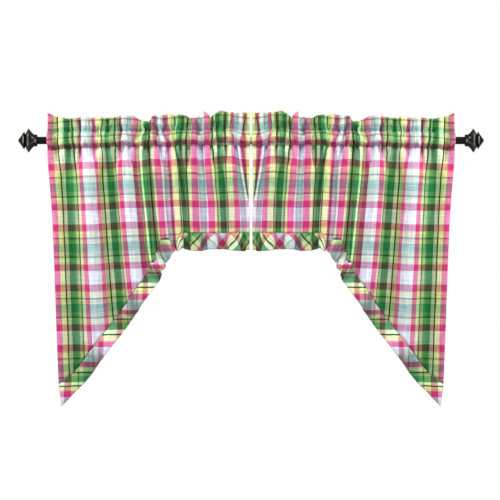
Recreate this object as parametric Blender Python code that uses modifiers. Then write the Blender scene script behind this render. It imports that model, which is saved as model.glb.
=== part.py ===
"""A pair of tailed swag valances on a rod, with a finial at each end.

Each swag is one gathered cloth panel. Its top is turned over to the back and stitched twice, so that a
ruffle stands above the rod and a pocket runs round it. A bias band is sewn along its lower edge.
X runs along the rod, Z is up, and the room is on the -Y side. The origin is on the rod's axis, midway.
"""

import math

import bmesh
import bpy
from mathutils import Matrix, Vector

MM = 0.001

# Cloth
SHEET = 1.5 * MM  # thickness of the panels and of the band
LAYER_GAP = 2.6 * MM  # between the middles of the heading's two layers
SEAM_GAP = 0.6 * MM  # from the panel's level edge down to the band
SLANTED_GAP = 1.9 * MM  # the same below its diagonal edge, measured straight down
CORNER_GAP = 3.6 * MM  # the same at the steep corner between them
CORNER_START = 430 * MM  # cloth from the outer edge to the start of the corner
LEVEL_START = 604 * MM  # and to the start of the level edge

# Rod pocket and heading, as heights from the rod's axis
STITCH_HIGH = 30 * MM
STITCH_LOW = -21 * MM
POCKET_PUSH = 20.75 * MM  # how far the pocket's wall stands out from its stitches
POCKET_ROUND = 0.4  # under 1 makes the pocket full, like a tube
HEAD_RIPPLE = 8 * MM  # deepest gather at the rod, to either side of its middle
RIPPLE_END = -120 * MM  # height at which the small gathers have run out

# Hung width of a flank over its cloth, at most and at least
LOOSEST = 0.97
TIGHTEST = 0.05

# Rod and finials
ROD_DIAMETER = 23.5 * MM
ROD_LENGTH = 1348 * MM
ROD_SIDES = 32
FINIAL_GAP = 0.3 * MM
FINIAL_SIDES = 6

# Heights at which the table below places the folds
HEAD_LEVEL = 60 * MM
ROD_LEVEL = -30 * MM
MID_LEVEL = -236 * MM
LOW_LEVEL = -620 * MM

# One row for each fold line of a swag, from its outer edge to the middle of the window. Ridges and valleys
# take turns, and the first is a ridge. In millimetres:
# cloth: distance across the flat cloth. gathers: small gathers at the rod between this line and the next.
# head, rod, mid, low: distance from the middle of the window at the four heights above.
# top: height of the ruffle's edge over the rod's axis.
FOLD_COLUMNS = ("cloth", "gathers", "head", "rod", "mid", "low", "top")
FOLDS = (
    (0, 3, 635, 640, 626, 612, 82),
    (76, 3, 581, 575, 565, 550, 68),
    (154, 3, 528, 523, 509, 489, 74),
    (252, 3, 457, 457, 444, 414, 70),
    (343, 3, 400, 398, 386, 348, 78),
    (403, 1, 354, 360, 341, 303, 66),
    (441, 1, 336, 342, 326, 281, 59),
    (479, 1, 317, 323, 310, 262, 63),
    (513, 3, 309, 297, 282, 243, 76),
    (567, 1, 278, 266, 252, 224, 77),
    (597, 3, 252, 245, 233, 208, 80),
    (649, 3, 216, 224, 208, 190, 80),
    (699, 1, 181, 182, 177, 165, 69),
    (734, 1, 158, 160, 149, 140, 80),
    (765, 3, 139, 139, 126, 118, 85),
    (825, 3, 108, 104, 91, 85, 87),
    (879, 1, 67, 66, 55, 50, 88),
    (923, 1, 46, 43, 20, 16, 88),
    (948, 1, 30, 33, 7, 7, 87),
    (986, 0, 4, 2, 14, 16, 86),
)

# One row for each change in the panel's lower edge, a diagonal up from the tail, a corner and a level part:
# cloth from the outer edge, and height from the rod's axis. In millimetres.
SEAM_COLUMNS = ("cloth", "height")
SEAM = (
    (0, -764),
    (121, -671),
    (283, -525),
    (384, -432),
    (441, -384),
    (474, -350),
    (506, -314),
    (530, -307),
    (563, -318),
    (580, -314),
    (604, -291),
    (986, -291),
)

# One row for each change in the band's direction: cloth from the outer edge, then how far its lower edge
# lies from its seam, towards the middle of the window and down. In millimetres.
BAND_COLUMNS = ("cloth", "inward", "down")
BAND = (
    (0, 9, 71),
    (30, 24, 46),
    (70, 36, 31),
    (110, 38, 27.5),
    (421, 36, 26),
    (447, 31, 24),
    (480, 33, 35),
    (502, 35, 44),
    (530, 24, 38),
    (563, 8, 28),
    (580, 4, 32),
    (604, 4, 50),
    (700, 0, 58),
    (742, 0, 53),
    (850, 0, 53),
    (902, 0, 58),
    (986, 0, 54),
)
BAND_FLARE = 1.25  # folds at the band's lower edge against those at its seam

# Rows of the panel's grid: the drop from its lower edge to the pocket, then up the pocket and the ruffle in
# front, over the top, and down the same heights at the back
DROP_ROWS = 9
DROP_CROWDING = 1.6  # over 1 sets the rows closer near the rod
POCKET_HEIGHTS = (-21 * MM, -16 * MM, -2 * MM, 12 * MM, 30 * MM)
BAND_ROWS = 2

# Section of a finial: distance from its face on the rod and radius to a corner, in millimetres
FINIAL_PROFILE = (
    (0, 13),
    (1.6, 18.8),
    (9.8, 19),
    (14.5, 21.6),
    (19.4, 26.6),
    (24, 33),
    (27.4, 37.9),
    (29.6, 37.4),
    (33, 31.6),
    (36.4, 25.6),
    (38.6, 20),
    (41.6, 27.4),
    (44.8, 26.2),
    (49.8, 18.2),
    (55.4, 10.6),
    (61.5, 2),
)


def clear_scene():
    for obj in list(bpy.data.objects):
        bpy.data.objects.remove(obj, do_unlink=True)


def make_collection(name):
    collection = bpy.data.collections.new(name)
    bpy.context.scene.collection.children.link(collection)
    return collection


def make_material(name, colour, roughness, metallic=0.0):
    material = bpy.data.materials.new(name)
    material.use_nodes = True
    shader = material.node_tree.nodes["Principled BSDF"]
    shader.inputs["Base Color"].default_value = (*colour, 1.0)
    shader.inputs["Roughness"].default_value = roughness
    shader.inputs["Metallic"].default_value = metallic
    return material


def column(rows, names, name):
    """One named column of a table, in metres."""
    place = names.index(name)
    return [row[place] * MM for row in rows]


CLOTH = column(FOLDS, FOLD_COLUMNS, "cloth")
TOP = column(FOLDS, FOLD_COLUMNS, "top")
GATHERS = [row[FOLD_COLUMNS.index("gathers")] for row in FOLDS]
PLACES = [column(FOLDS, FOLD_COLUMNS, name) for name in ("head", "rod", "mid", "low")]
LEVELS = (HEAD_LEVEL, ROD_LEVEL, MID_LEVEL, LOW_LEVEL)
WIDTH = CLOTH[-1]


def smooth(amount):
    """Eases 0 to 1, and holds it outside."""
    amount = min(max(amount, 0.0), 1.0)
    return amount * amount * (3 - 2 * amount)


def straight(points, values, at):
    """Reads values on straight lines through points that rise, past the ends too."""
    index = 0
    while index < len(points) - 2 and at > points[index + 1]:
        index += 1
    share = (at - points[index]) / (points[index + 1] - points[index])
    return values[index] + share * (values[index + 1] - values[index])


def slope(index, level):
    """Lean of a fold line at one of the four levels, from the levels beside it."""
    high = max(level - 1, 0)
    low = min(level + 1, len(LEVELS) - 1)
    return (PLACES[low][index] - PLACES[high][index]) / (LEVELS[low] - LEVELS[high])


def line_place(index, height):
    """Distance of a fold line from the middle of the window at one height, on a smooth curve."""
    last = len(LEVELS) - 1
    if height >= LEVELS[0]:
        return PLACES[0][index]
    if height <= LEVELS[last]:
        return PLACES[last][index] + (height - LEVELS[last]) * slope(index, last)
    level = max(step for step in range(last) if height < LEVELS[step])
    span = LEVELS[level + 1] - LEVELS[level]
    share = (height - LEVELS[level]) / span
    start, end = PLACES[level][index], PLACES[level + 1][index]
    lean_in, lean_out = slope(index, level) * span, slope(index, level + 1) * span
    bow = share * (1 - share) * ((1 - share) * (lean_in - end + start) + share * (end - start - lean_out))
    return start + share * (end - start) + bow


def fold_shape(cloth, across):
    """Swing along the rod and depth of one flank, from its cloth and the width that it hangs in.

    The flank's section is a sine-generated curve. Its bend and depth are short series that fit that curve.
    """
    ratio = min(max(across / cloth, TIGHTEST), LOOSEST)
    bend = 8 * (1 - math.sqrt(ratio))
    swing = cloth * bend / 4 * (1 - bend / 12)
    depth = cloth * 2 / math.pi * math.sqrt(bend) * (1 - bend / 9)
    return swing, depth


def flank_depth(index, height):
    cloth = CLOTH[index + 1] - CLOTH[index]
    across = line_place(index, height) - line_place(index + 1, height)
    return fold_shape(cloth, across)[1]


def line_depth(index, height):
    """How far a fold line stands behind the cloth's middle. Ridges are in front, so below zero."""
    depths = [flank_depth(flank, height) for flank in (index - 1, index) if 0 <= flank < len(FOLDS) - 1]
    side = -1 if index % 2 == 0 else 1
    return side * sum(depths) / len(depths) / 2


def fold(cloth, height):
    """(distance from the middle of the window, depth) of a point of the gathered cloth."""
    index = 0
    while index < len(FOLDS) - 2 and cloth > CLOTH[index + 1]:
        index += 1
    wide = CLOTH[index + 1] - CLOTH[index]
    share = (cloth - CLOTH[index]) / wide
    start, end = line_place(index, height), line_place(index + 1, height)
    swing = fold_shape(wide, start - end)[0]
    turn = 2 * math.pi * share
    big_x = start + share * (end - start) - swing * math.sin(turn) / (2 * math.pi)
    ease = (1 - math.cos(math.pi * share)) / 2
    first, last = line_depth(index, height), line_depth(index + 1, height)
    big_y = first + ease * (last - first)
    # At the rod the same flank holds one gather or three, each no deeper than the pocket lets it be.
    count = GATHERS[index]
    small_x = start + share * (end - start) - swing / count * math.sin(turn * count) / (2 * math.pi)
    side = -1 if index % 2 == 0 else 1
    depth = min(HEAD_RIPPLE, abs(last - first) / 2)
    small_y = side * depth * math.cos(math.pi * share * count)
    loose = smooth((STITCH_LOW - height) / (STITCH_LOW - RIPPLE_END))
    return small_x + loose * (big_x - small_x), small_y + loose * (big_y - small_y)


def sideways(cloth, height):
    """Unit vector square to the gathered cloth, pointing to its back, in (distance, depth)."""
    step = 1 * MM
    low = max(cloth - step, 0)
    high = min(cloth + step, WIDTH)
    x0, y0 = fold(low, height)
    x1, y1 = fold(high, height)
    along = Vector((x1 - x0, y1 - y0))
    along.normalize()
    return Vector((along.y, -along.x))


def pocket_push(height):
    share = (height - STITCH_LOW) / (STITCH_HIGH - STITCH_LOW)
    if not 0 < share < 1:
        return 0.0
    return POCKET_PUSH * math.sin(math.pi * share) ** POCKET_ROUND


def layer_point(cloth, height, layer):
    """A point of the front layer (-1) or the back layer (1), in (distance, depth, height)."""
    x, y = fold(cloth, height)
    out = sideways(cloth, height) * (layer * LAYER_GAP / 2)
    return Vector((x + out.x, y + out.y + layer * pocket_push(height), height))


def seam_height(cloth):
    """Height of the panel's lower edge."""
    return straight(column(SEAM, SEAM_COLUMNS, "cloth"), column(SEAM, SEAM_COLUMNS, "height"), cloth)


def top_height(cloth):
    return straight(CLOTH, TOP, cloth)


def panel_rows():
    """(kind, amount, layer) of each row of the panel's grid, from its lower edge round to the pocket's back."""
    rows = [("drop", (step / DROP_ROWS) ** DROP_CROWDING, -1) for step in range(DROP_ROWS, 0, -1)]
    rows += [("height", height, -1) for height in POCKET_HEIGHTS]
    rows += [("top", 0, -1), ("top", 0, 1)]
    rows += [("height", height, 1) for height in reversed(POCKET_HEIGHTS)]
    return rows


def panel_columns():
    """Places across the cloth of the grid's columns: six to a flank with three gathers, two to any other."""
    places = []
    for index, count in enumerate(GATHERS[:-1]):
        steps = 6 if count == 3 else 2
        wide = CLOTH[index + 1] - CLOTH[index]
        places += [CLOTH[index] + wide * step / steps for step in range(steps)]
    return places + [WIDTH]


def panel_point(cloth, row):
    kind, amount, layer = row
    if kind == "drop":
        height = STITCH_LOW + amount * (seam_height(cloth) - STITCH_LOW)
    elif kind == "top":
        height = top_height(cloth)
    else:
        height = amount
    return layer_point(cloth, height, layer)


def band_reach(cloth):
    """How far the band's lower edge lies from its seam, in (distance, height)."""
    points = column(BAND, BAND_COLUMNS, "cloth")
    inward = straight(points, column(BAND, BAND_COLUMNS, "inward"), cloth)
    down = straight(points, column(BAND, BAND_COLUMNS, "down"), cloth)
    return Vector((-inward, -down))


def band_point(cloth, share):
    seam = layer_point(cloth, seam_height(cloth), -1)
    reach = band_reach(cloth)
    flare = 1 + share * (BAND_FLARE - 1)
    gap = SEAM_GAP
    if cloth < CORNER_START:
        gap = SLANTED_GAP
    elif cloth < LEVEL_START:
        gap = CORNER_GAP
    drop = share * (reach.y + gap) - gap
    return Vector((seam.x + share * reach.x, seam.y * flare, seam.z + drop))


def make_sheet(name, columns, rows, point, side, material, collection):
    """A cloth sheet: a grid with each vertex moved to point(column, row), then given its thickness."""
    bm = bmesh.new()
    bmesh.ops.create_grid(bm, x_segments=len(columns) - 1, y_segments=len(rows) - 1, size=0.5)
    for vert in bm.verts:
        across = round((vert.co.x + 0.5) * (len(columns) - 1))
        up = round((vert.co.y + 0.5) * (len(rows) - 1))
        x, y, z = point(columns[across], rows[up])
        vert.co = (side * x, y, z)
    if side > 0:
        bmesh.ops.reverse_faces(bm, faces=bm.faces)
    mesh = bpy.data.meshes.new(name)
    bm.to_mesh(mesh)
    bm.free()
    mesh.materials.append(material)
    mesh.shade_smooth()
    obj = bpy.data.objects.new(name, mesh)
    collection.objects.link(obj)
    thick = obj.modifiers.new("Thickness", "SOLIDIFY")
    thick.thickness = SHEET
    thick.offset = 0
    return obj


def make_rod(material, collection):
    bm = bmesh.new()
    radius = ROD_DIAMETER / 2
    bmesh.ops.create_cone(
        bm, cap_ends=True, segments=ROD_SIDES, radius1=radius, radius2=radius, depth=ROD_LENGTH
    )
    mesh = bpy.data.meshes.new("rod")
    bm.to_mesh(mesh)
    bm.free()
    mesh.materials.append(material)
    mesh.shade_smooth()
    mesh.set_sharp_from_angle(angle=math.radians(40))
    rod = bpy.data.objects.new("rod", mesh)
    rod.rotation_euler = (0, math.pi / 2, 0)
    collection.objects.link(rod)
    return rod


def make_finial(name, side, material, collection):
    """A stepped knob of six sides, built up from its profile, with its point outwards and a corner on top."""
    bm = bmesh.new()
    ring = None
    for out, radius in FINIAL_PROFILE:
        turned = bmesh.ops.create_circle(bm, cap_ends=False, segments=FINIAL_SIDES, radius=radius * MM)
        verts = turned["verts"]
        bmesh.ops.translate(bm, verts=verts, vec=(0, 0, out * MM))
        edges = list({edge for vert in verts for edge in vert.link_edges})
        if ring:
            bmesh.ops.bridge_loops(bm, edges=ring + edges)
        ring = edges
    bmesh.ops.holes_fill(bm, edges=[edge for edge in bm.edges if edge.is_boundary], sides=FINIAL_SIDES)
    bmesh.ops.recalc_face_normals(bm, faces=bm.faces)
    quarter = Matrix.Rotation(math.pi / 2, 3, "Z")
    bmesh.ops.rotate(bm, verts=bm.verts, cent=(0, 0, 0), matrix=quarter)
    mesh = bpy.data.meshes.new(name)
    bm.to_mesh(mesh)
    bm.free()
    mesh.materials.append(material)
    finial = bpy.data.objects.new(name, mesh)
    finial.location = (side * (ROD_LENGTH / 2 + FINIAL_GAP), 0, 0)
    finial.rotation_euler = (0, side * math.pi / 2, 0)
    collection.objects.link(finial)
    return finial


def main():
    clear_scene()
    collection = make_collection("window_valance_on_rod")
    cloth = make_material("check cotton", (0.80, 0.42, 0.52), 0.9)
    metal = make_material("dark bronze", (0.03, 0.03, 0.03), 0.4, 0.8)
    columns = panel_columns()
    band_rows = [step / BAND_ROWS for step in range(BAND_ROWS, -1, -1)]
    for name, side in (("left", -1), ("right", 1)):
        make_sheet("swag_" + name, columns, panel_rows(), panel_point, side, cloth, collection)
        make_sheet("band_" + name, columns, band_rows, band_point, side, cloth, collection)
        make_finial("finial_" + name, side, metal, collection)
    make_rod(metal, collection)


main()
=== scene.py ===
"""Looks of a pair of tailed swag valances on a rod: the gathered check cotton, its bias bands,
the stitching, the rod and its two finials. X runs along the rod, Z is up and the room is on the
-Y side, in metres.
"""

import functools
import math

import bmesh
import bpy
from mathutils import Matrix, Vector, noise


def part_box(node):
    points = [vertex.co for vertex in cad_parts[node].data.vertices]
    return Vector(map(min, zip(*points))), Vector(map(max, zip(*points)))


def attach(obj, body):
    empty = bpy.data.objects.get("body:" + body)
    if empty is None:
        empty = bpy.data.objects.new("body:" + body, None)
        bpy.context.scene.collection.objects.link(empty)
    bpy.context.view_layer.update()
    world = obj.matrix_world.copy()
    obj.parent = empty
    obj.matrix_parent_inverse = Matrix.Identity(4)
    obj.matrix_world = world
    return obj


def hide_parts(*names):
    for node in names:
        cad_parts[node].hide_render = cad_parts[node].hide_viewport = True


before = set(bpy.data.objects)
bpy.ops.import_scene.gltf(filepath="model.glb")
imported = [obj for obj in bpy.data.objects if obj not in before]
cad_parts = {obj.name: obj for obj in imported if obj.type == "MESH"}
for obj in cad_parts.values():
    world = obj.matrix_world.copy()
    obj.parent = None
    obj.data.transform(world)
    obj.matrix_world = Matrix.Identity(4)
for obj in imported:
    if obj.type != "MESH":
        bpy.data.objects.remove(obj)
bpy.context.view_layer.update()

MM = 0.001

# Cloth
PANEL_SHEET = 0.9 * MM
BAND_SHEET = 0.6 * MM
LAYER_GAP = 2.6 * MM  # between the middles of the heading's two layers
BAND_GAP = 2.0 * MM  # between the middles of the band's two layers
BAND_WIDE = 58 * MM
COLUMN_STEP = 2.3 * MM
DROP_ROWS = 66
DROP_CROWDING = 1.25
POCKET_ROWS = 14
RUFFLE_ROWS = 13
BACK_RUFFLE_ROWS = 7
BACK_POCKET_ROWS = 8
CROWN_ANGLES = (-60, 0, 60)

# Rod pocket and ruffle, as heights from the rod's axis
STITCH_HIGH = 30 * MM
STITCH_LOW = -21 * MM
POCKET_PUSH = 19.5 * MM  # how far the pocket stands out, either way, halfway up
POCKET_ROUND = 0.5  # its section is a sine to this power
DEEPEST = 34 * MM  # how far behind the rod's axis the gathers reach
POCKET_CLOTH = 66 * MM  # cloth between the two rows of stitches
HEAD_RIPPLE = 9 * MM  # how deep the gathers at the rod are, at most, either way
RIPPLE_END = -120 * MM  # height where they have opened into the folds
STEEPEST = 0.8  # of a flank's hung width, so that the gathers at the rod don't double back
RUFFLE_FLARE = 0.4  # how much deeper the gathers stand at the ruffle's edge
STITCH_TUCK = 10 * MM  # how far the stitches draw the cloth back
UPPER_TUCK = 0.7  # of that, at the upper stitches
TUCK_REACH = 4.8 * MM
TUCK_RISE = 2.5 * MM  # from the pocket's lower end up to the deepest of the tuck
TUCK_SHARE = 0.85  # of that too, before noise makes it uneven
STITCH_REACH = 13 * MM  # how far from a row of stitches it still shows
STITCH_LIFT = 3.5 * MM
RISE_FADE = 40 * MM  # below the lower stitches, over which their rise dies away
ROD_CLEARANCE = 13.9 * MM  # from the rod's axis to the middle of the cloth, at least

# Hung width of a flank over its cloth, at most and at least
LOOSEST = 0.97
TIGHTEST = 0.05

# Unevenness of the cloth, as noise: how wide and how tall it is in metres, which slice of the
# noise it takes, and how strong it is
SOFT_WRINKLES = (0.045, 0.16, 1.0, 2.4 * MM)
SMALL_WRINKLES = (0.016, 0.06, 7.0, 1.1 * MM)
CREASE_WANDER = (0.05, 0.12, 3.0, 1.5)
TUCK_NOISE = (0.03, 0.05, 17.0, 0.5)

# Heights at which the table below places the folds
HEAD_LEVEL = 60 * MM
ROD_LEVEL = -30 * MM
MID_LEVEL = -236 * MM
LOW_LEVEL = -620 * MM

# One row for each fold line of a swag, from its outer edge to the middle of the window. Ridges and
# valleys take turns, and the first is a ridge.
FOLDS = (
    (0, 3, 641, 643, 627, 612, -3, 0, 0),
    (76, 3, 581, 575, 565, 550, -1, 5, 0),
    (154, 3, 528, 523, 509, 489, -1, 8, 0),
    (252, 3, 457, 457, 444, 414, 0, 9, 5),
    (343, 3, 400, 398, 386, 348, 1, 13, 8),
    (403, 1, 354, 360, 341, 303, -1, 10, 9),
    (441, 1, 336, 342, 326, 281, 0, 13, 10),
    (479, 1, 317, 323, 310, 262, 2, 17, 10),
    (513, 3, 309, 297, 282, 243, 1, 16, 10),
    (567, 1, 278, 266, 252, 224, -1, 13, 12),
    (597, 3, 252, 245, 233, 208, 1, 15, 13),
    (649, 3, 216, 224, 208, 190, 2, 18, 12),
    (699, 1, 181, 182, 177, 165, 1, 18, 10),
    (734, 1, 158, 160, 149, 140, 0, 15, 10),
    (765, 3, 139, 139, 126, 118, 1, 17, 10),
    (825, 3, 108, 104, 91, 85, 5, 23, 10),
    (879, 1, 67, 66, 55, 50, 6, 23, 11),
    (923, 1, 46, 43, 20, 16, 4, 20, 11),
    (942, 1, 32, 39, 9, 9, 1, 17, 11),
    (967, 1, 18, 18, 13, 22, 1, 16, 11),
    (986, 0, 4, 4.2, 7, 14, 0, 14, 11),
)

# Creases of the heading and below it, in millimetres:
# top, foot: distance from the middle of the window at the crease's two ends. high, low: heights of
# those ends. deep: how far it is pressed in, or how far it swells where below zero, before
# CREASE_DEPTH multiplies it. wide: half its width.
CREASES = (
    (640, 640, 90, -60, -2.4, 9), (609, 607, 74, -30, 2.5, 6), (540, 538, 58, 5, 4.5, 4),
    (497, 474, 50, 8, 2.5, 4), (466, 457, 80, 34, 3.5, 3.5), (452, 451, 80, 26, 5.0, 4.5),
    (440, 446, 46, 18, 3.0, 3), (418, 417, 52, 28, 4.0, 4), (408, 409, 42, 8, 3.0, 3),
    (376, 374, 40, -24, 3.0, 4), (341, 337, 72, 22, 3.0, 3), (330, 332, 70, 16, 3.5, 2.6),
    (322, 324, 60, 12, 3.0, 2.6), (312, 290, 74, -12, 4.5, 4), (284, 274, 40, 14, 3.0, 3),
    (274, 284, 40, 14, 3.0, 3), (250, 253, 80, 30, 3.5, 4), (255, 241, 30, -24, 2.5, 4),
    (203, 205, 60, -18, 3.0, 5), (170, 169, 54, 20, 4.5, 3.5), (146, 146, 76, 10, -4.0, 13),
    (117, 116, 62, -6, 5.0, 4), (108, 111, 46, 10, 2.6, 2.2), (101, 103, 48, 12, 2.6, 2.2),
    (94, 93, 46, 10, 2.6, 2.2), (86, 86, 66, 20, 3.0, 3.5), (60, 68, 86, 24, 4.0, 3.5),
    (70, 50, 22, -10, 3.5, 3.5), (54, 35, 50, 40, 1.6, 3), (15, 30, 84, 32, 4.0, 3.2),
    (30, 22, 30, -18, 2.5, 3.5), (239, 216, -18, -185, 4.0, 4), (33, 8, -18, -190, 4.5, 4),
    (338, 311, -20, -380, 3.0, 3), (325, 298, -20, -400, 2.6, 3), (329, 322, -14, -80, 3.5, 3),
    (339, 344, -16, -62, 2.5, 3), (157, 148, -16, -110, 2.5, 3.5), (281, 273, -14, -76, 2.8, 3),
    (202, 200, -18, -84, 2.2, 4), (447, 432, -16, -90, 2.5, 4), (402, 396, -16, -120, 2.5, 4.5),
    (117, 112, -18, -90, 2.5, 4),
)

CREASE_DEPTH = 3.1  # times the depths above
CREASE_EDGE = 2.2  # half-widths from its line to where a crease counts as ended
CREASE_PAST = 0.3  # how far past both its ends a crease runs out, of its length
CREASE_FADE = 0.45  # how long its fade at each end is, of its length

# Places at both rows of stitches, and one between them, where the cloth is drawn together:
# distance from the middle of the window, height and reach in millimetres, how tightly the cloth
# is drawn along the rod, and how deep it is pressed, before PINCH_DEPTH multiplies it
PINCHES = (
    (539, 30, 13, 0.75, 8), (481, 28, 12, 0.70, 7), (406, 30, 13, 0.75, 8), (376, 8, 11, 0.60, 6),
    (334, 28, 14, 0.80, 9), (317, 38, 10, 0.70, 8), (299, 26, 11, 0.70, 8),
    (281, 29, 11, 0.70, 7), (246, 30, 13, 0.80, 10), (204, 32, 12, 0.50, 5),
    (167, 32, 12, 0.75, 9), (126, 34, 11, 0.75, 9), (108, 30, 9, 0.60, 8), (88, 30, 10, 0.70, 8),
    (63, 28, 11, 0.75, 9), (24, 32, 11, 0.60, 7), (629, -16, 12, 0.50, 5),
    (544, -16, 13, 0.70, 8), (482, -16, 13, 0.70, 8), (416, -16, 13, 0.70, 8),
    (369, -14, 13, 0.75, 9), (337, -16, 12, 0.70, 8), (299, -16, 11, 0.70, 8),
    (240, -14, 13, 0.75, 9), (154, -16, 13, 0.60, 7), (128, -14, 12, 0.75, 9),
    (92, -16, 11, 0.60, 7), (54, -10, 12, 0.75, 9),
)

PINCH_DEPTH = 1.6  # times the depths above
PINCH_TALL = 15 * MM
PINCH_EDGE = 2.5  # of a pinch's reach, to where it counts as ended
PINCH_NARROW = 0.45  # of a pinch's reach, for its press
PUFF = 4 * MM  # how far the pocket puffs out between its pinches
PUFF_EDGE = 0.6  # of a pinch's reach
PUFF_LEVEL = 6 * MM
PUFF_TALL = 22 * MM

# Beside each other on the rod, the two pockets' inner edges nearly meet in front of it
MEETING = 3.4 * MM
MEETING_CLOTH = 950 * MM
ROD_REACH = 24 * MM

# How much higher the lower stitches stand than the rise above, in millimetres: cloth, rise
STITCH_RISES = (
    (0, 0), (76, -4.5), (154, -1.5), (252, 0), (343, 4), (403, 4.5), (441, 1), (479, 4.5),
    (513, 5.5), (567, 2), (597, 3), (649, 5), (699, 6.5), (734, 5.5), (765, 4.5), (825, 2),
    (879, 1), (923, 3), (942, 4), (967, 3.5), (986, 2.5),
)
RISE_REACH = 22 * MM

# Narrow creases of the gathers
CREASE_PITCH = 18 * MM  # of cloth
CREASE_PRESS = 11 * MM
CREASE_UP = 46 * MM  # above the upper stitches, over which they die away
CREASE_DOWN = 95 * MM  # the same below the lower stitches
CREASE_HOLD = 0.6  # of their depth, away from the stitches

# The ruffle's edge, in millimetres: distance from the middle of the window, height over the axis
RUFFLE = (
    (7, 87), (72, 88), (85, 92), (101, 92), (112, 85), (122, 75), (132, 71), (143, 90), (156, 80),
    (171, 70), (187, 70), (199, 72), (211, 80), (230, 80), (240, 78), (255, 82), (277, 80),
    (309, 77), (322, 59), (343, 59), (356, 67), (378, 78), (411, 78), (435, 71), (495, 71),
    (536, 74), (564, 67), (586, 69), (611, 74), (640, 83),
)

# The panel's lower edge, in millimetres: cloth from the outer edge, height from the rod's axis
SEAM = (
    (0, -764), (59, -731), (111, -680), (136, -657), (177, -618), (210, -583), (238, -561),
    (283, -525), (320, -489), (345, -467), (384, -432), (399, -420), (408, -403), (421, -394),
    (447, -381), (480, -346), (491, -325), (502, -312), (527, -308), (545, -315), (566, -329),
    (575, -340), (588, -340), (597, -298), (604, -291), (986, -291),
)

# The band's lower edge, in millimetres: cloth from the outer edge, then how far it lies from the
# seam, towards the middle of the window and down
BAND = (
    (0, 9, 71), (30, 24, 46), (70, 36, 31), (110, 38, 27.5), (421, 36, 26), (447, 31, 24),
    (480, 33, 35), (491, 36, 43), (502, 35, 46), (527, 25, 39), (566, 9, 14), (577, 3, 9),
    (588, 2, 9), (596, 4, 48), (624, 3, 50), (668, 0, 56), (725, 0, 58), (742, 0, 53.6),
    (768, 0, 52.3), (820, 0, 52.3), (850, 0, 53.2), (870, 0, 56), (918, 0, 59), (935, 0, 54),
    (986, 0, 54),
)

# The diagonal part of the seam again, as it hangs, in millimetres: distance from the middle of the
# window, height
DIAGONAL = (
    (326, -421), (337, -432), (362, -466), (387, -502), (400, -521), (430, -561), (449, -585),
    (471, -614), (501, -655), (520, -680), (539, -707), (561, -732), (590, -757), (605, -766),
)
DIAGONAL_END = 384 * MM  # cloth up to which the seam follows it
EDGE_ROUND = 4 * MM  # cloth over which the seam's and the band's corners are rounded off
BAND_FLARE = 1.25  # how much deeper the band's folds stand at its lower edge
BAND_GATHER = 29 * MM  # cloth from one gather of the band to the next
BAND_BOW = 2.5 * MM  # how round the band's front is
SEAM_TUCK = 1.6 * MM  # how far the seam draws the band back
BAND_FREE = 923 * MM  # cloth from which the band hangs level in front of the panel's inner folds
BAND_LAST = 4.6 * MM  # its end, from the middle of the window
BAND_JOIN = 590 * MM  # cloth where the band's tail strip is joined to its level strip

TAIL_WARP = (
    (-828, -549), (-792, -507), (-746, -439), (-700, -380), (-651, -337), (-599, -276),
    (-576, -249), (-536, -190), (-503, -147), (-464, -103), (-428, -59), (-392, 0), (-352, 42),
    (-330, 63), (-312, 87),
)
TAIL_WEFT = (
    (236, 495), (292, 422), (326, 380), (359, 336), (367, 321), (391, 277), (427, 232),
    (465, 190), (497, 146), (547, 87), (590, 42), (605, 26),
)
TAIL_TURN = (-440, 0.45)  # above this height the weft's stripes drift, by this share of the rise

# The level strip, in millimetres: the panel's cloth and its own, then where its check is cut
LEVEL_STRIP = (
    (570, 805), (617, 846), (696, 916), (749, 978), (815, 1038), (879, 1101), (923, 1163),
    (986, 1188),
)
LEVEL_CUT = (-36, 315)
LEVEL_PLACE = (-463.5, -541.4)

# The check's stripes in one repeat, the same in warp and weft, in millimetres
STRIPES = (
    ("white", 42.5), ("pink", 21.0), ("coral", 2.4), ("yellow", 18.0), ("line", 6.1),
    ("cream", 14.2), ("green", 26.8), ("mint", 12.3), ("line", 6.1), ("straw", 17.6),
    ("coral", 2.4), ("rose", 20.6),
)
REPEAT = sum(width for _, width in STRIPES) * MM
PANEL_SPAN = 1.1  # metres of cloth across the whole of a panel's map
MAP_BASE = 0.80  # metres of cloth on it below the pocket's lower stitches
BAND_SPAN = 0.9  # the same for a band's map
BAND_BASE = 0.6  # metres by which it is moved across the warp's stripes
FIRST_WHITE = 143 * MM  # outer edge to the first white warp stripe
WHITE_BELOW = 11 * MM  # lower stitches to the first white weft stripe

# Yarns, as warp and as weft: red, green and blue of 255 as seen, then the alpha. The warp's is its
# share of the colour where the two cross.
YARNS = {
    "white": ((222, 228, 242, 0.60), (222, 228, 242, 1)),
    "pink": ((226, 66, 132, 0.60), (164, 32, 92, 1)),
    "coral": ((205, 150, 125, 0.60), (180, 120, 130, 1)),
    "yellow": ((230, 230, 142, 0.60), (208, 216, 158, 1)),
    "line": ((8, 62, 17, 0.82), (50, 90, 82, 1)),
    "cream": ((222, 250, 176, 0.60), (176, 194, 154, 1)),
    "green": ((22, 121, 40, 0.61), (60, 141, 116, 1)),
    "mint": ((128, 154, 84, 0.60), (150, 176, 150, 1)),
    "straw": ((214, 216, 150, 0.60), (198, 222, 176, 1)),
    "rose": ((210, 56, 118, 0.60), (162, 32, 94, 1)),
}


def in_metres(rows):
    """The columns of a table in millimetres, each as a list in metres."""
    return [[amount * MM for amount in values] for values in zip(*rows)]


CLOTH, _, *PLACES, RISES, HIGH_LIFTS, DEEP_LIFTS = in_metres(FOLDS)
GATHERS = [gathers for _, gathers, *_ in FOLDS]
LEVELS = (HEAD_LEVEL, ROD_LEVEL, MID_LEVEL, LOW_LEVEL)
WIDTH = CLOTH[-1]
SIDES = (("left", -1), ("right", 1))


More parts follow.
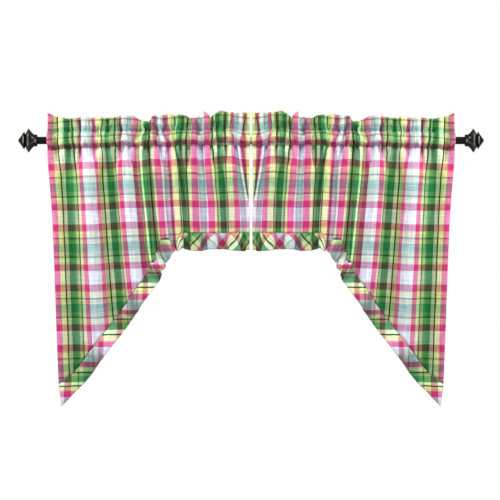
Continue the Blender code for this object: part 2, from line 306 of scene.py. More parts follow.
def smooth(amount):
    """Eases 0 to 1, and holds it outside."""
    amount = min(max(amount, 0.0), 1.0)
    return amount * amount * (3 - 2 * amount)


def straight(points, values, at):
    """Reads values on straight lines through points that rise, past the ends too."""
    index = 0
    while index < len(points) - 2 and at > points[index + 1]:
        index += 1
    share = (at - points[index]) / (points[index + 1] - points[index])
    return values[index] + share * (values[index + 1] - values[index])


def curve(share, start, end, lean_in, lean_out):
    """From start to end, with its lean at both as the change over the whole way."""
    bow = (1 - share) * (lean_in - end + start) + share * (end - start - lean_out)
    return start + share * (end - start) + share * (1 - share) * bow


def flowing(points, values, at):
    """Like straight, on one smooth curve through all the points."""
    last = len(points) - 1
    index = 0
    while index < last - 1 and at > points[index + 1]:
        index += 1

    def lean(place):
        one, two = max(place - 1, 0), min(place + 1, last)
        return (values[two] - values[one]) / (points[two] - points[one])

    span = points[index + 1] - points[index]
    share = min(max((at - points[index]) / span, 0.0), 1.0)
    leans = lean(index) * span, lean(index + 1) * span
    return curve(share, values[index], values[index + 1], *leans)


def line_place(index, height):
    """Distance of a fold line from the middle of the window at one height, on a smooth curve."""
    places = [level[index] for level in PLACES]
    if height <= LOW_LEVEL:
        lean = (places[-1] - places[-2]) / (LEVELS[-1] - LEVELS[-2])
        return places[-1] + (height - LOW_LEVEL) * lean
    return flowing([-level for level in LEVELS], places, -height)


def fold_shape(cloth, across):
    """Swing along the rod and depth of one flank, from its cloth and the width that it hangs in.

    The flank's section is a sine-generated curve. Its bend and depth are short series that fit it.
    """
    ratio = min(max(across / cloth, TIGHTEST), LOOSEST)
    bend = 8 * (1 - math.sqrt(ratio))
    swing = cloth * bend / 4 * (1 - bend / 12)
    depth = cloth * 2 / math.pi * math.sqrt(bend) * (1 - bend / 9)
    return swing, depth


@functools.cache
def fold_lines(height):
    """(places, depths) of all the fold lines at one height. Ridges are in front, so below zero."""
    places = [line_place(index, height) for index in range(len(FOLDS))]
    flanks = [
        fold_shape(CLOTH[index + 1] - CLOTH[index], places[index] - places[index + 1])[1]
        for index in range(len(FOLDS) - 1)
    ]
    depths = []
    for index in range(len(FOLDS)):
        beside = flanks[max(index - 1, 0):index + 1]
        side = -1 if index % 2 == 0 else 1
        depths.append(side * sum(beside) / len(beside) / 2)
    return places, depths


@functools.cache
def flank_of(cloth):
    """Number of the flank that this cloth is in."""
    index = 0
    while index < len(FOLDS) - 2 and cloth > CLOTH[index + 1]:
        index += 1
    return index


def fold(cloth, height):
    """(distance from the middle of the window, depth) of a point of the gathered cloth."""
    index = flank_of(cloth)
    places, depths = fold_lines(round(height, 5))
    wide = CLOTH[index + 1] - CLOTH[index]
    share = (cloth - CLOTH[index]) / wide
    start, end = places[index], places[index + 1]
    swing = fold_shape(wide, start - end)[0]
    turn = 2 * math.pi * share
    big_x = start + share * (end - start) - swing * math.sin(turn) / (2 * math.pi)
    ease = (1 - math.cos(math.pi * share)) / 2
    first, last = depths[index], depths[index + 1]
    big_y = first + ease * (last - first)
    # At the rod the same flank holds one gather or three, none deeper than the pocket lets it be.
    count = GATHERS[index]
    most = STEEPEST * abs(end - start)
    steep = max(min(swing, most), -most)
    small_x = start + share * (end - start) - steep / count * math.sin(turn * count) / (2 * math.pi)
    side = -1 if index % 2 == 0 else 1
    flare = 1 + RUFFLE_FLARE * smooth((height - STITCH_HIGH) / (HEAD_LEVEL - STITCH_HIGH))
    depth = min(HEAD_RIPPLE, abs(last - first) / 2) * flare
    small_y = side * depth * math.cos(math.pi * share * count)
    loose = smooth((STITCH_LOW - height) / (STITCH_LOW - RIPPLE_END))
    return small_x + loose * (big_x - small_x), small_y + loose * (big_y - small_y)


def sideways(cloth, height):
    """Unit vector square to the gathered cloth, pointing to its back, in (distance, depth)."""
    step = 1.5 * MM
    x0, y0 = fold(max(cloth - step, 0), height)
    x1, y1 = fold(min(cloth + step, WIDTH), height)
    along = Vector((x1 - x0, y1 - y0))
    along.normalize()
    return Vector((along.y, -along.x))


def near(height, level, reach):
    """1 at a level, fading to 0 as the height leaves it."""
    return math.exp(-((height - level) / reach) ** 2)


def creased(place, height):
    """Depth of the listed creases at a distance from the middle of the window and a height."""
    depth = 0.0
    for top, foot, high, low, deep, wide in CREASES:
        share = (high * MM - height) / ((high - low) * MM)
        if not -CREASE_PAST < share < 1 + CREASE_PAST:
            continue
        line = (top + share * (foot - top)) * MM
        off = abs(place - line) / (wide * MM)
        if off < CREASE_EDGE:
            fade = smooth((share + CREASE_PAST) / CREASE_FADE)
            fade *= smooth((1 + CREASE_PAST - share) / CREASE_FADE)
            depth += CREASE_DEPTH * deep * MM * fade * math.exp(-off * off)
    return depth


def pinched(place, height):
    """(how far the pinches draw the cloth along the rod here, how deep they press it).

    Between its pinches the pocket puffs out.
    """
    shift, press, taut = 0.0, 0.0, 0.0
    for middle, level, reach, tight, deep in PINCHES:
        off = (place / MM - middle) / reach
        if abs(off) < PINCH_EDGE:
            hold = near(height, level * MM, PINCH_TALL)
            shift -= tight * off * reach * MM * math.exp(-off * off) * hold
            press += PINCH_DEPTH * deep * MM * math.exp(-(off / PINCH_NARROW) ** 2) * hold
            taut = max(taut, math.exp(-(off / PUFF_EDGE) ** 2))
    return shift, press - PUFF * (1 - taut) * near(height, PUFF_LEVEL, PUFF_TALL)


def uneven(cloth, height, wave):
    """Noise on the cloth, from one of the four rows of its unevenness."""
    wide, tall, part, strength = wave
    return noise.noise(Vector((cloth / wide, height / tall, part))) * strength


def gather_creases(cloth, height):
    """Narrow creases from stitch to stitch, that die away in the ruffle and below the pocket."""
    reach = 1.0
    if height > STITCH_HIGH:
        reach = 1 - smooth((height - STITCH_HIGH) / CREASE_UP)
    elif height < STITCH_LOW:
        reach = 1 - smooth((STITCH_LOW - height) / CREASE_DOWN)
    if reach <= 0:
        return 0.0
    phase = cloth / CREASE_PITCH + uneven(cloth, height, CREASE_WANDER)
    # Each crease has a strength of its own, which changes slowly along it. Some are left out.
    strong = 0.5 + 0.9 * noise.noise(Vector((round(phase) * 1.7, height / 0.09, 31.0)))
    stitched = max(near(height, level, STITCH_REACH) for level in (STITCH_HIGH, STITCH_LOW))
    hold = CREASE_HOLD + (1 - CREASE_HOLD) * stitched
    groove = (1 - abs(math.sin(math.pi * phase))) ** 2
    return CREASE_PRESS * groove * max(strong, 0.0) * reach * hold


def relief(cloth, height):
    """Soft and small wrinkles all over the cloth, square to it."""
    return uneven(cloth, height, SOFT_WRINKLES) + uneven(cloth, height, SMALL_WRINKLES)


def rise_of(cloth):
    """How far the pocket's stitches stand above their level here."""
    return flowing(CLOTH, RISES, cloth)


def stitch_rise(cloth, height):
    """How much further the cloth near the lower stitches stands above its level."""
    return read_mm(STITCH_RISES, cloth) * MM * near(height, STITCH_LOW, RISE_REACH)


def lift_of(cloth, height):
    high = flowing(CLOTH, HIGH_LIFTS, cloth)
    deep = flowing(CLOTH, DEEP_LIFTS, cloth)
    at_stitches = STITCH_LIFT * near(height, STITCH_LOW, STITCH_REACH)
    below = smooth((ROD_LEVEL - height) / (ROD_LEVEL - MID_LEVEL)) * (deep - high)
    return high + at_stitches + below - stitch_rise(cloth, height)


def read_mm(rows, at):
    """Reads a two-column table in millimetres at a place in metres."""
    return straight([row[0] for row in rows], [row[1] for row in rows], at / MM)


def edge_read(rows, cloth):
    """Reads each further column of an edge's table at a place of cloth, corners rounded off."""
    points, *columns = in_metres(rows)
    places = [min(max(cloth + share * EDGE_ROUND, 0.0), WIDTH) for share in (-1, -0.5, 0, 0.5, 1)]
    return [
        sum(straight(points, values, place) for place in places) / len(places)
        for values in columns
    ]


@functools.cache
def seam_height(cloth):
    """Height of the panel's lower edge. Its diagonal hangs in an even line, whatever folds do."""
    (height,) = edge_read(SEAM, cloth)
    if cloth < DIAGONAL_END:
        # Height and place depend on each other, so a few turns bring them together.
        for _ in range(4):
            height = read_mm(DIAGONAL, round(fold(cloth, height)[0], 5)) * MM
    return height


def top_height(cloth):
    """Height of the ruffle's edge."""
    across, top = in_metres(RUFFLE)
    index = flank_of(cloth)
    share = (cloth - CLOTH[index]) / (CLOTH[index + 1] - CLOTH[index])
    place = PLACES[0][index] + share * (PLACES[0][index + 1] - PLACES[0][index])
    return straight(across, top, place)


def pocket_course(steps=80):
    """Shares of the cloth round the pocket from the lower stitches up, their heights and pushes."""
    fine = []
    for step in range(steps + 1):
        share = step / steps
        height = STITCH_LOW + share * (STITCH_HIGH - STITCH_LOW)
        fine.append((height, POCKET_PUSH * max(math.sin(math.pi * share), 0.0) ** POCKET_ROUND))
    run = [0.0]
    for one, two in zip(fine, fine[1:]):
        run.append(run[-1] + math.dist(one, two))
    course = [amount / run[-1] for amount in run]
    return course, [height for height, _ in fine], [push for _, push in fine]


COURSE, COURSE_HEIGHTS, COURSE_PUSHES = pocket_course()


def tuck(cloth, level):
    """How far the two rows of stitches draw the heading back here."""
    lower = near(level, STITCH_LOW + TUCK_RISE, TUCK_REACH)
    upper = UPPER_TUCK * near(level, STITCH_HIGH, TUCK_REACH)
    share = TUCK_SHARE + uneven(cloth, level, TUCK_NOISE)
    return STITCH_TUCK * share * max(lower, upper)


def sheet_point(cloth, height, layer, push=0.0, level=None):
    """A point of the front layer (-1) or the back layer (1), in (distance, depth, height).

    level is the height where its folds and creases are read, if that isn't its own.
    """
    level = height if level is None else level
    x, y = fold(cloth, level)
    drawn, press = pinched(x, level)
    out = sideways(cloth, level) * (layer * LAYER_GAP / 2 + relief(cloth, level))
    # The stitches draw both layers back together. The pocket's back hangs free of such creases.
    drawn_back = creased(x, level) + press + tuck(cloth, level) + gather_creases(cloth, level)
    if layer > 0:
        drawn_back = max(drawn_back, 0.0) * (1 - push / POCKET_PUSH)
    deepest = DEEPEST + layer * LAYER_GAP / 2
    depth = min(y + out.y + layer * push + drawn_back, deepest)
    if abs(height) < ROD_CLEARANCE:
        clear = math.sqrt(ROD_CLEARANCE ** 2 - height ** 2)
        depth = layer * max(layer * depth, clear)
    meeting = smooth((cloth - MEETING_CLOTH) / (WIDTH - MEETING_CLOTH)) * near(level, 0, ROD_REACH)
    return Vector((x + out.x + drawn - MEETING * meeting, depth, height))


def panel_rows():
    """(kind, amount, layer) of each row of a panel, from its lower edge to the pocket's back."""
    rows = [("drop", (step / DROP_ROWS) ** DROP_CROWDING, -1) for step in range(DROP_ROWS, 0, -1)]
    rows += [("pocket", step / POCKET_ROWS, -1) for step in range(POCKET_ROWS)]
    rows += [("ruffle", step / RUFFLE_ROWS, -1) for step in range(RUFFLE_ROWS + 1)]
    rows += [("crown", math.radians(angle), 1) for angle in CROWN_ANGLES]
    back = BACK_RUFFLE_ROWS
    rows += [("ruffle", 1 - step / back, 1) for step in range(back + 1)]
    back = BACK_POCKET_ROWS
    rows += [("pocket", 1 - step / back, 1) for step in range(1, back + 1)]
    return rows


def panel_columns():
    """Cloth at each column of a panel and of its band."""
    count = round(WIDTH / COLUMN_STEP)
    return [WIDTH * step / count for step in range(count + 1)]


def panel_point(cloth, row):
    """(point, run of cloth up from the lower stitches) of one grid point."""
    kind, amount, layer = row
    rise = rise_of(cloth)
    if kind == "drop":
        height = STITCH_LOW + amount * (seam_height(cloth) - STITCH_LOW)
        lifted = height + rise * near(height, STITCH_LOW, RISE_FADE) + stitch_rise(cloth, height)
        return sheet_point(cloth, lifted, -1, level=height), height - STITCH_LOW
    if kind == "pocket":
        height = straight(COURSE, COURSE_HEIGHTS, amount)
        push = straight(COURSE, COURSE_PUSHES, amount)
        run = amount * POCKET_CLOTH
        if layer > 0:
            run = 2 * (POCKET_CLOTH + top_height(cloth) - STITCH_HIGH) - run
        lifted = height + rise + stitch_rise(cloth, height)
        return sheet_point(cloth, lifted, layer, push, level=height), run
    top = top_height(cloth)
    ruffle = top - STITCH_HIGH
    if kind == "crown":
        point = sheet_point(cloth, top, math.sin(amount))
        point.z += math.cos(amount) * LAYER_GAP / 2
        return point, POCKET_CLOTH + ruffle + amount * LAYER_GAP / 2
    height = STITCH_HIGH + amount * ruffle
    lifted = height + rise * (1 - amount)
    run = POCKET_CLOTH + amount * ruffle
    if layer > 0:
        run = 2 * (POCKET_CLOTH + ruffle) - run
    return sheet_point(cloth, lifted, layer, level=height), run


def band_reach(cloth):
    """How far the band's lower edge lies from its seam, in (distance, height)."""
    inward, down = edge_read(BAND, cloth)
    return Vector((-inward, -down))


def band_spot(cloth, share, joined):
    """Over 1, share is at its back."""
    if joined:
        along = read_mm(LEVEL_STRIP, cloth) + LEVEL_CUT[0]
        across = LEVEL_CUT[1] - share * BAND_WIDE / MM
        turn = math.sqrt(0.5)
        return (along - across) * turn + LEVEL_PLACE[0], (along + across) * turn + LEVEL_PLACE[1]
    seam = Vector((fold(cloth, seam_height(cloth))[0], seam_height(cloth)))

    def spot(amount):
        x, z = seam + amount * band_reach(cloth)
        drift = max(z / MM - TAIL_TURN[0], 0.0) * TAIL_TURN[1]
        return Vector((read_mm(TAIL_WARP, z), read_mm(TAIL_WEFT, x) + drift))

    if share <= 1:
        return spot(share)
    return spot(0) + share * (spot(1) - spot(0))


def band_relief(cloth, share):
    """Gathers of the band, that open away from its seam, and its soft round front."""
    drift = noise.noise(Vector((cloth / 0.05, share * 0.7, 11.0)))
    gather = math.sin(cloth / BAND_GATHER * 2 * math.pi + 5 * drift) * 1.0 * MM
    soft = noise.noise(Vector((cloth / 0.03, share * 1.5, 5.0))) * 1.2 * MM
    return (gather + soft) * (0.5 + 0.5 * share) - BAND_BOW * math.sin(math.pi * share)


def band_seam(cloth):
    """Where the band leaves the panel, in (distance, depth, height)."""
    seam = sheet_point(cloth, seam_height(cloth), -1)
    if cloth > BAND_FREE:
        free = WIDTH - BAND_FREE
        share = (cloth - BAND_FREE) / free
        first = sheet_point(BAND_FREE, seam.z, -1)
        folds = [sheet_point(BAND_FREE + step / 8 * free, seam.z, -1).y for step in range(9)]
        seam.x = first.x + share * (BAND_LAST - first.x)
        seam.y = first.y + smooth(share * 3) * (min(folds) - first.y)
    return seam


def band_point(cloth, row):
    """One grid point of the band: row is (share of its width, layer)."""
    share, layer = row
    seam = band_seam(cloth)
    reach = band_reach(cloth)
    flare = 1 + share * (BAND_FLARE - 1)
    # The fold at the lower edge is round, and the layers close up at the seam.
    half = BAND_GAP / 2 * math.sqrt(max(1 - share ** 8, 0.0)) * (0.35 + 0.65 * smooth(share * 4))
    out = layer * half + band_relief(cloth, share)
    depth = seam.y * flare + out + SEAM_TUCK * (1 - smooth(share * 9))
    return Vector((seam.x + share * reach.x, depth, seam.z + share * reach.y))


def band_rows():
    """(share of its width, layer) of each row of a band, from back to front round its fold."""
    shares = [0, 0.04, 0.09, 0.16, 0.25, 0.35, 0.46, 0.57, 0.68, 0.78, 0.87, 0.94, 0.98]
    front = [(share, -1) for share in reversed(shares)]
    return [(share, 1) for share in shares] + [(1.0, 0)] + front


def finished(bm, name, smooth_shaded=True, sharp=None):
    """A piece from a built mesh. Edges that turn by more than sharp degrees stay sharp."""
    mesh = bpy.data.meshes.new(name)
    bm.to_mesh(mesh)
    bm.free()
    if smooth_shaded:
        mesh.shade_smooth()
    if sharp:
        mesh.set_sharp_from_angle(angle=math.radians(sharp))
    obj = bpy.data.objects.new(name, mesh)
    bpy.context.scene.collection.objects.link(obj)
    return obj


def make_grid(name, points, maps, side):
    """A sheet from rows of points, mirrored to its side of the window, with a cloth map in metres.

    maps holds, for each face column, the two columns of map points at its edges.
    """
    rows, columns = len(points), len(points[0])
    bm = bmesh.new()
    bmesh.ops.create_grid(bm, x_segments=columns - 1, y_segments=rows - 1, size=0.5)
    cell = {}
    for vert in bm.verts:
        across = round((vert.co.x + 0.5) * (columns - 1))
        up = round((vert.co.y + 0.5) * (rows - 1))
        cell[vert.index] = (across, up)
        x, y, z = points[up][across]
        vert.co = (side * x, y, z)
    layer = bm.loops.layers.uv.new("cloth")
    for face in bm.faces:
        first = min(cell[vert.index][0] for vert in face.verts)
        for loop in face.loops:
            across, up = cell[loop.vert.index]
            loop[layer].uv = maps[first][across - first][up]
    if side > 0:
        bmesh.ops.reverse_faces(bm, faces=bm.faces)
    return finished(bm, name)


def dress(obj, material, node=None):
    """Gives a piece its finish and its place on the frame."""
    obj.data.materials.append(material)
    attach(obj, "root")
    if node:
        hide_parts(node)
    return obj


def make_pair(name, node, points, maps, thickness, material):
    """One sheet of cloth on both sides of the window, with half its thickness to each side."""
    made = []
    for end, side in SIDES:
        sheet = make_grid(name + end, points, maps, side)
        thick = sheet.modifiers.new("Thickness", "SOLIDIFY")
        thick.thickness = thickness
        thick.offset = 0
        thick.use_even_offset = False
        made.append(dress(sheet, material, node + end))
    return made


def make_panels(material):
    """The two gathered panels, ruffle, pocket and drop in one sheet each."""
    columns, rows = panel_columns(), panel_rows()
    points, spots = [], []
    for row in rows:
        found = [panel_point(cloth, row) for cloth in columns]
        points.append([point for point, _ in found])
        spots.append([
            (cloth / PANEL_SPAN, (run - lift_of(cloth, point.z) + MAP_BASE) / PANEL_SPAN)
            for cloth, (point, run) in zip(columns, found)
        ])
    by_column = [[row[across] for row in spots] for across in range(len(columns))]
    maps = [(by_column[across], by_column[across + 1]) for across in range(len(columns) - 1)]
    return make_pair("panel_", "swag_", points, maps, PANEL_SHEET, material)


def make_bands(material):
    """The folded bias band along each panel's lower edge, of two strips joined at the corner."""
    columns, rows = panel_columns(), band_rows()
    points = [[band_point(cloth, row) for cloth in columns] for row in rows]

    def strip_map(cloth, joined):
        spots = []
        for share, layer in rows:
            warp, weft = band_spot(cloth, share if layer <= 0 else 2 - share, joined)
            spots.append(((warp * MM + BAND_BASE) / BAND_SPAN, weft * MM / BAND_SPAN))
        return spots

    maps = []
    for one, two in zip(columns, columns[1:]):
        joined = (one + two) / 2 > BAND_JOIN
        maps.append((strip_map(one, joined), strip_map(two, joined)))
    return make_pair("band_cloth_", "band_", points, maps, BAND_SHEET, material)


STITCH_PITCH = 4.2 * MM
STITCH_LONG = 3.2 * MM
THREAD = 0.4 * MM  # its radius


def stitch_end(cloth, level, layer, side):
    """Where a thread enters the cloth at a row of stitches."""
    height = level + rise_of(cloth) + stitch_rise(cloth, level)
    x, y, z = sheet_point(cloth, height, layer, level=level)
    return Vector((side * x, y + layer * PANEL_SHEET, z))


def add_stitch(bm, one, two):
    """A short round thread between two points."""
    along = two - one
    turn = along.to_track_quat("X", "Z").to_matrix().to_4x4()
    shape = Matrix.Diagonal((along.length / 2 + THREAD, THREAD, THREAD, 1))
    matrix = Matrix.Translation((one + two) / 2) @ turn @ shape
    bmesh.ops.create_icosphere(bm, subdivisions=1, radius=1.0, matrix=matrix)


def make_stitches(material):
    """Two rows of stitches through each heading, front and back."""
    rows = [(level, layer) for level in (STITCH_LOW, STITCH_HIGH) for layer in (-1, 1)]
    for name, side in SIDES:
        bm = bmesh.new()
        for level, layer in rows:
            for number in range(1, int(WIDTH / STITCH_PITCH)):
                cloth = number * STITCH_PITCH
                places = cloth - STITCH_LONG / 2, cloth + STITCH_LONG / 2
                add_stitch(bm, *[stitch_end(place, level, layer, side) for place in places])
        dress(finished(bm, "stitches_" + name), material)


# Section of a finial, in millimetres: distance from the rod's end, radius to a corner
FINIAL = (
    (0.0, 13), (1.2, 18.4), (2.2, 19), (9.6, 19), (12.4, 20), (16, 23), (20, 27.6), (24, 33.2),
    (27.2, 37.8), (29.4, 37.6), (33, 31.8), (36.4, 25.6), (38.6, 20), (40.6, 24.6), (41.8, 27.4),
    (44.6, 26.4), (49.8, 18.2), (55.4, 10.6), (60.4, 3.4), (61.4, 1.6),
)
FINIAL_SIDES = 6
FINIAL_BEVEL = 0.5 * MM
FINIAL_SHARP = 24  # degrees
FINIAL_GAP = 0.3 * MM  # between a finial and the rod's end
ROD_BEVEL = 0.8 * MM
ROD_SHARP = 40  # degrees


def bevel(bm, edges, offset, segments):
    """Rounds some edges a little."""
    bmesh.ops.bevel(
        bm, geom=edges, offset=offset, segments=segments, profile=0.5, affect="EDGES", material=-1
    )


def rotate(bm, angle, axis):
    """Turns the whole of a mesh about the origin."""
    matrix = Matrix.Rotation(angle, 3, axis)
    bmesh.ops.rotate(bm, verts=bm.verts, cent=(0, 0, 0), matrix=matrix)


def make_finials(material):
    """Six-sided stepped knobs, a corner on top, their edges a little rounded."""
    rod_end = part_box("rod")[1][0] + FINIAL_GAP
    for name, side in SIDES:
        bm = bmesh.new()
        ring = None
        for out, radius in FINIAL:
            turned = bmesh.ops.create_circle(
                bm, cap_ends=False, segments=FINIAL_SIDES, radius=radius * MM
            )
            verts = turned["verts"]
            bmesh.ops.translate(bm, verts=verts, vec=(0, 0, out * MM))
            edges = list({edge for vert in verts for edge in vert.link_edges})
            if ring:
                bmesh.ops.bridge_loops(bm, edges=ring + edges)
            ring = edges
        open_edges = [edge for edge in bm.edges if edge.is_boundary]
        bmesh.ops.holes_fill(bm, edges=open_edges, sides=FINIAL_SIDES)
        bmesh.ops.recalc_face_normals(bm, faces=bm.faces)
        bevel(bm, bm.edges[:], FINIAL_BEVEL, 2)
        rotate(bm, math.pi / 2, "Z")
        rotate(bm, side * math.pi / 2, "Y")
        bmesh.ops.translate(bm, verts=bm.verts, vec=(side * rod_end, 0, 0))
        knob = finished(bm, "finial_knob_" + name, sharp=FINIAL_SHARP)
        dress(knob, material, "finial_" + name)


def make_rod(material):
    """The round rod, its ends slightly rounded where the finials stand."""
    low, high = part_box("rod")
    radius = (high[2] - low[2]) / 2
    bm = bmesh.new()
    bmesh.ops.create_cone(
        bm, cap_ends=True, segments=72, radius1=radius, radius2=radius, depth=high[0] - low[0]
    )
    rims = [edge for edge in bm.edges if abs(edge.verts[0].co.z - edge.verts[1].co.z) < MM]
    bevel(bm, rims, ROD_BEVEL, 3)
    rotate(bm, math.pi / 2, "Y")
    dress(finished(bm, "rod_tube", sharp=ROD_SHARP), material, "rod")


YARN_PAIR = 1.3 * MM  # of cloth
PAINT = (0.004, 0.004, 0.003, 1)
# Lighter bronze of the worn corners: real wear and a painted highlight in one
WORN_BRONZE_AND_HIGHLIGHT = (0.088, 0.080, 0.056, 1)
WEAR_AND_HIGHLIGHT_REACH = (0.033, 0.041)  # distances from the rod's axis between which the paint wears off to lighter bronze, which is also a painted highlight on the finials' widest corners


def add(tree, kind, **settings):
    """A new node with its settings and the values of its named sockets."""
    node = tree.nodes.new("ShaderNode" + kind)
    for name, value in settings.items():
        if hasattr(node, name):
            setattr(node, name, value)
        else:
            node.inputs[name].default_value = value
    return node


def plug(tree, socket, value):
    """Gives a socket its value, or links another node's output to it."""
    if isinstance(value, bpy.types.NodeSocket):
        tree.links.new(value, socket)
    elif value is not None:
        socket.default_value = value


def feed(tree, node, **values):
    """Does so for a node's named sockets."""
    for name, value in values.items():
        plug(tree, node.inputs[name], value)


def math_node(tree, operation, first, second=None):
    node = add(tree, "Math", operation=operation)
    plug(tree, node.inputs[0], first)
    plug(tree, node.inputs[1], second)
    return node.outputs[0]


def parts(tree, vector):
    """The three outputs of a vector's parts."""
    node = add(tree, "SeparateXYZ")
    feed(tree, node, Vector=vector)
    return node.outputs


def grains(tree, place, scale, detail):
    node = add(tree, "TexNoise", Scale=scale, Detail=detail)
    feed(tree, node, Vector=place)
    return node.outputs[0]


def ranged(tree, value, low, high, to_low, to_high, clamp=True):
    """A value that runs from low to high, moved to run from to_low to to_high."""
    node = add(tree, "MapRange", clamp=clamp)
    ends = {"From Min": low, "From Max": high, "To Min": to_low, "To Max": to_high}
    feed(tree, node, Value=value, **ends)
    return node.outputs["Result"]


def mix(tree, factor, one, two, blend="MIX"):
    """One colour, and the other by the factor."""
    node = add(tree, "Mix", data_type="RGBA", blend_type=blend)
    feed(tree, node, Factor=factor, A=one, B=two)
    return node.outputs["Result"]


def bump(tree, height, strength, distance, normal=None):
    node = add(tree, "Bump", Strength=strength, Distance=distance)
    feed(tree, node, Height=height, Normal=normal)
    return node.outputs[0]


def new_material(name):
    """(material, its nodes, its shader)."""
    material = bpy.data.materials.new(name)
    material.use_nodes = True
    tree = material.node_tree
    return material, tree, tree.nodes["Principled BSDF"]


def stripe_ramp(tree, place, way):
    """One repeat's stripes of the warp (0) or the weft (1). place runs from 0 to 1 over it."""
    ramp = add(tree, "ValToRGB")
    tree.links.new(place, ramp.inputs[0])
    stops = ramp.color_ramp
    stops.interpolation = "CONSTANT"
    while len(stops.elements) > 1:
        stops.elements.remove(stops.elements[-1])
    start = 0.0
    for number, (yarn, width) in enumerate(STRIPES):
        stop = stops.elements[0] if number == 0 else stops.elements.new(start)
        stop.position = start
        *colour, cover = YARNS[yarn][way]
        stop.color = (*(part / 255 for part in colour), cover)
        start += width * MM / REPEAT
    return ramp


def check_cotton(name, span, offset, flip):
    """Yarn-dyed check: stripes both ways that mix where they cross, slubs, weave and a crinkle.

    span is the metres of cloth across the map, offset moves the check along warp and weft in
    metres, and flip is -1 where the map runs against the weft's stripes.
    """
    material, tree, shader = new_material(name)
    link = tree.links.new
    uv = add(tree, "UVMap", uv_map="cloth")
    repeats = span / REPEAT
    moved = (offset[0] / REPEAT, offset[1] / REPEAT, 0)
    place = add(tree, "Mapping", Location=moved, Scale=(repeats, flip * repeats, 1))
    link(uv.outputs[0], place.inputs[0])
    place = place.outputs[0]
    # Yarns waver a little, so the stripes' edges aren't ruled lines.
    waver = math_node(tree, "SUBTRACT", grains(tree, place, 9.0, 2.0), 0.5)
    shift = math_node(tree, "MULTIPLY", waver, 0.012)
    across, along, _ = parts(tree, place)
    warp_place = math_node(tree, "FRACT", math_node(tree, "ADD", across, shift))
    weft_place = math_node(tree, "FRACT", math_node(tree, "SUBTRACT", along, shift))
    warp = stripe_ramp(tree, warp_place, 0)
    weft = stripe_ramp(tree, weft_place, 1)
    cloth = mix(tree, warp.outputs["Alpha"], weft.outputs["Color"], warp.outputs["Color"])
    seen = add(tree, "Gamma", Gamma=2.2)
    link(mix(tree, 1.0, cloth, slub_tone(tree, place), "MULTIPLY"), seen.inputs["Color"])
    link(seen.outputs[0], shader.inputs["Base Color"])
    link(weave_bump(tree, place), shader.inputs["Normal"])
    shader.inputs["Roughness"].default_value = 0.88
    shader.inputs["Sheen Weight"].default_value = 0.12
    shader.inputs["Sheen Roughness"].default_value = 0.5
    shader.inputs["Specular IOR Level"].default_value = 0.25
    return material


def streaks(tree, place, scale, detail=3.0):
    """Noise drawn out along one set of yarns."""
    stretch = add(tree, "Mapping", Scale=scale)
    tree.links.new(place, stretch.inputs[0])
    return grains(tree, stretch.outputs[0], 1.0, detail)


def slub_tone(tree, place):
    """Light and dark yarns both ways, as a grey near one."""
    yarns = [streaks(tree, place, scale) for scale in ((40, 2.5, 1), (2.5, 40, 1))]
    return ranged(tree, math_node(tree, "ADD", *yarns), 0.6, 1.4, 0.82, 1.14, clamp=False)


def weave_bump(tree, place):
    """Plain weave, and a soft crinkle over it."""
    yarns = 2 * math.pi * REPEAT / YARN_PAIR
    over, under = [
        math_node(tree, "SINE", math_node(tree, "MULTIPLY", part, yarns))
        for part in list(parts(tree, place))[:2]
    ]
    weave = bump(tree, math_node(tree, "MULTIPLY", over, under), 0.35, 0.2 * MM)
    return bump(tree, streaks(tree, place, (16, 9, 1), 4.0), 0.6, 1.2 * MM, weave)


def thread_cotton():
    """Pale sewing thread, twisted."""
    material, tree, shader = new_material("pale sewing thread")
    twist = add(tree, "TexWave", Scale=900.0, Distortion=1.5, bands_direction="DIAGONAL")
    feed(tree, twist, Vector=add(tree, "TexCoord").outputs["Object"])
    twist = twist.outputs["Fac"]
    colour = mix(tree, twist, (0.62, 0.58, 0.50, 1), (0.80, 0.76, 0.68, 1))
    tree.links.new(colour, shader.inputs["Base Color"])
    tree.links.new(bump(tree, twist, 0.5, 0.1 * MM), shader.inputs["Normal"])
    shader.inputs["Roughness"].default_value = 0.7
    return material


def dark_bronze(name, smoothest, roughest, shine):
    """Near-black paint, rubbed to lighter bronze at the finials' widest corners, which is wear and
    a painted highlight in one, and a little uneven all over.
    """
    material, tree, shader = new_material(name)
    link = tree.links.new
    place = add(tree, "TexCoord").outputs["Object"]
    squares = [math_node(tree, "POWER", part, 2) for part in list(parts(tree, place))[1:]]
    out = math_node(tree, "SQRT", math_node(tree, "ADD", *squares))
    grain = grains(tree, place, 260.0, 5.0)
    ragged = math_node(tree, "ADD", out, math_node(tree, "MULTIPLY", grain, 0.006))
    # Wear and painted highlight: the finials' widest corners take the lighter bronze
    wear_and_highlight = ranged(tree, ragged, *WEAR_AND_HIGHLIGHT_REACH, 0, 1)
    link(mix(tree, wear_and_highlight, PAINT, WORN_BRONZE_AND_HIGHLIGHT), shader.inputs["Base Color"])
    link(ranged(tree, grain, 0, 1, smoothest, roughest), shader.inputs["Roughness"])
    shader.inputs["Specular IOR Level"].default_value = shine
    link(bump(tree, grain, 0.15, 0.4 * MM), shader.inputs["Normal"])
    return material


FLOOR_LEVEL = -2.05
FLOOR_RADIUS = 6.0


def make_floor():
    """A wide pale floor, well below the valance."""
    bm = bmesh.new()
    bmesh.ops.create_circle(bm, cap_ends=True, segments=96, radius=FLOOR_RADIUS)
    bmesh.ops.translate(bm, verts=bm.verts, vec=(0, 0, FLOOR_LEVEL))
    floor = finished(bm, "floor", smooth_shaded=False)
    material, _, shader = new_material("pale floor")
    shader.inputs["Base Color"].default_value = (0.92, 0.92, 0.92, 1)
    shader.inputs["Roughness"].default_value = 0.9
    floor.data.materials.append(material)
    floor.visible_glossy = False
    return floor


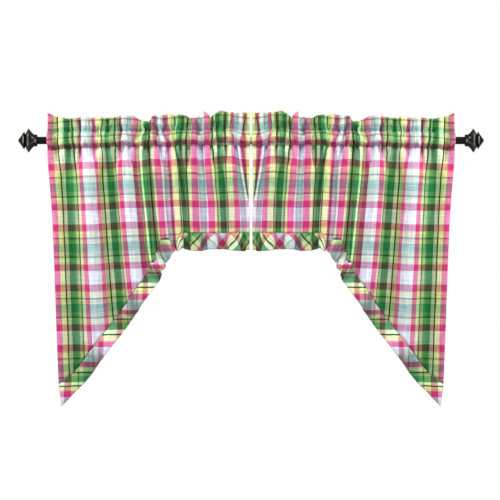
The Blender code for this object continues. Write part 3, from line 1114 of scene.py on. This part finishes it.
# Lights: name, place, what it points at, size, power, and whether metal mirrors it
LIGHTS = (
    ("key", (0.0, -1.8, 1.75), (0, 0, -0.25), (1.4, 0.5), 39, True),
    ("left side", (-1.7, -0.8, 0.3), (-0.3, 0, -0.25), (0.35, 1.0), 27, True),
    ("right side", (1.7, -0.8, 0.3), (0.3, 0, -0.25), (0.35, 1.0), 27, True),
    ("front", (0.0, -3.0, 0.05), (0, 0, 0), (2.4, 0.9), 16, True),
    ("back", (0.0, 2.4, 1.5), (0, 0.3, -0.6), (2.0, 1.0), 45, False),
    ("above", (0.0, 0.0, 3.6), (0, 0, -2), (5.0, 5.0), 30, False),
)
FLOOR_LIGHT = ("floor light", (0.0, 0.0, 4.0), (0, 0, -2), (9.0, 9.0), 560, False)


def make_light(name, place, target, size, power, shine):
    data = bpy.data.lights.new(name, "AREA")
    data.shape = "RECTANGLE"
    data.size, data.size_y = size
    data.energy = power
    light = bpy.data.objects.new(name, data)
    light.location = place
    light.visible_camera = False
    light.visible_glossy = shine
    light.rotation_euler = (Vector(target) - Vector(place)).to_track_quat("-Z", "Y").to_euler()
    bpy.context.scene.collection.objects.link(light)
    return light


def light_floor(floor):
    """Lights the floor alone, so that it is pale from every side."""
    floor.visible_diffuse = False
    alone = bpy.data.collections.new("floor alone")
    alone.objects.link(floor)
    make_light(*FLOOR_LIGHT).light_linking.receiver_collection = alone


ROOM_LIGHT = 0.14  # of the white room on the object


def make_room():
    """A white room: pure white where it is seen, and softer where it lights the object."""
    world = bpy.data.worlds.new("white room")
    bpy.context.scene.world = world
    world.use_nodes = True
    tree = world.node_tree
    back = tree.nodes["Background"]
    back.inputs["Color"].default_value = (1, 1, 1, 1)
    path = add(tree, "LightPath")
    level = ranged(tree, path.outputs["Is Camera Ray"], 0, 1, ROOM_LIGHT, 1)
    tree.links.new(level, back.inputs["Strength"])


# The view: straight at the front with a long lens. Its middle and its width at the cloth's front
VIEW_MIDDLE = (-0.0033, -0.346)
VIEW_WIDE = 1.575
CLOTH_FRONT = -0.02
LENS = 150.0
SENSOR = 36.0


def make_camera():
    """The camera at the front."""
    data = bpy.data.cameras.new("camera")
    data.lens = LENS
    data.sensor_width = SENSOR
    camera = bpy.data.objects.new("camera", data)
    away = VIEW_WIDE * LENS / SENSOR
    camera.location = (VIEW_MIDDLE[0], CLOTH_FRONT - away, VIEW_MIDDLE[1])
    camera.rotation_euler = (math.pi / 2, 0, 0)
    bpy.context.scene.collection.objects.link(camera)
    bpy.context.scene.camera = camera


panel_check = check_cotton("check cotton", PANEL_SPAN, (-FIRST_WHITE, MAP_BASE - WHITE_BELOW), -1)
band_check = check_cotton("bias check cotton", BAND_SPAN, (-BAND_BASE, 0.0), 1)

panels = make_panels(panel_check)
bands = make_bands(band_check)
make_stitches(thread_cotton())
make_rod(dark_bronze("black rod paint", 0.10, 0.18, 0.6))
make_finials(dark_bronze("dark bronze paint", 0.12, 0.30, 0.8))

floor = make_floor()
make_room()
for light in LIGHTS:
    make_light(*light)
light_floor(floor)
make_camera()
bpy.context.scene.view_settings.view_transform = "Standard"
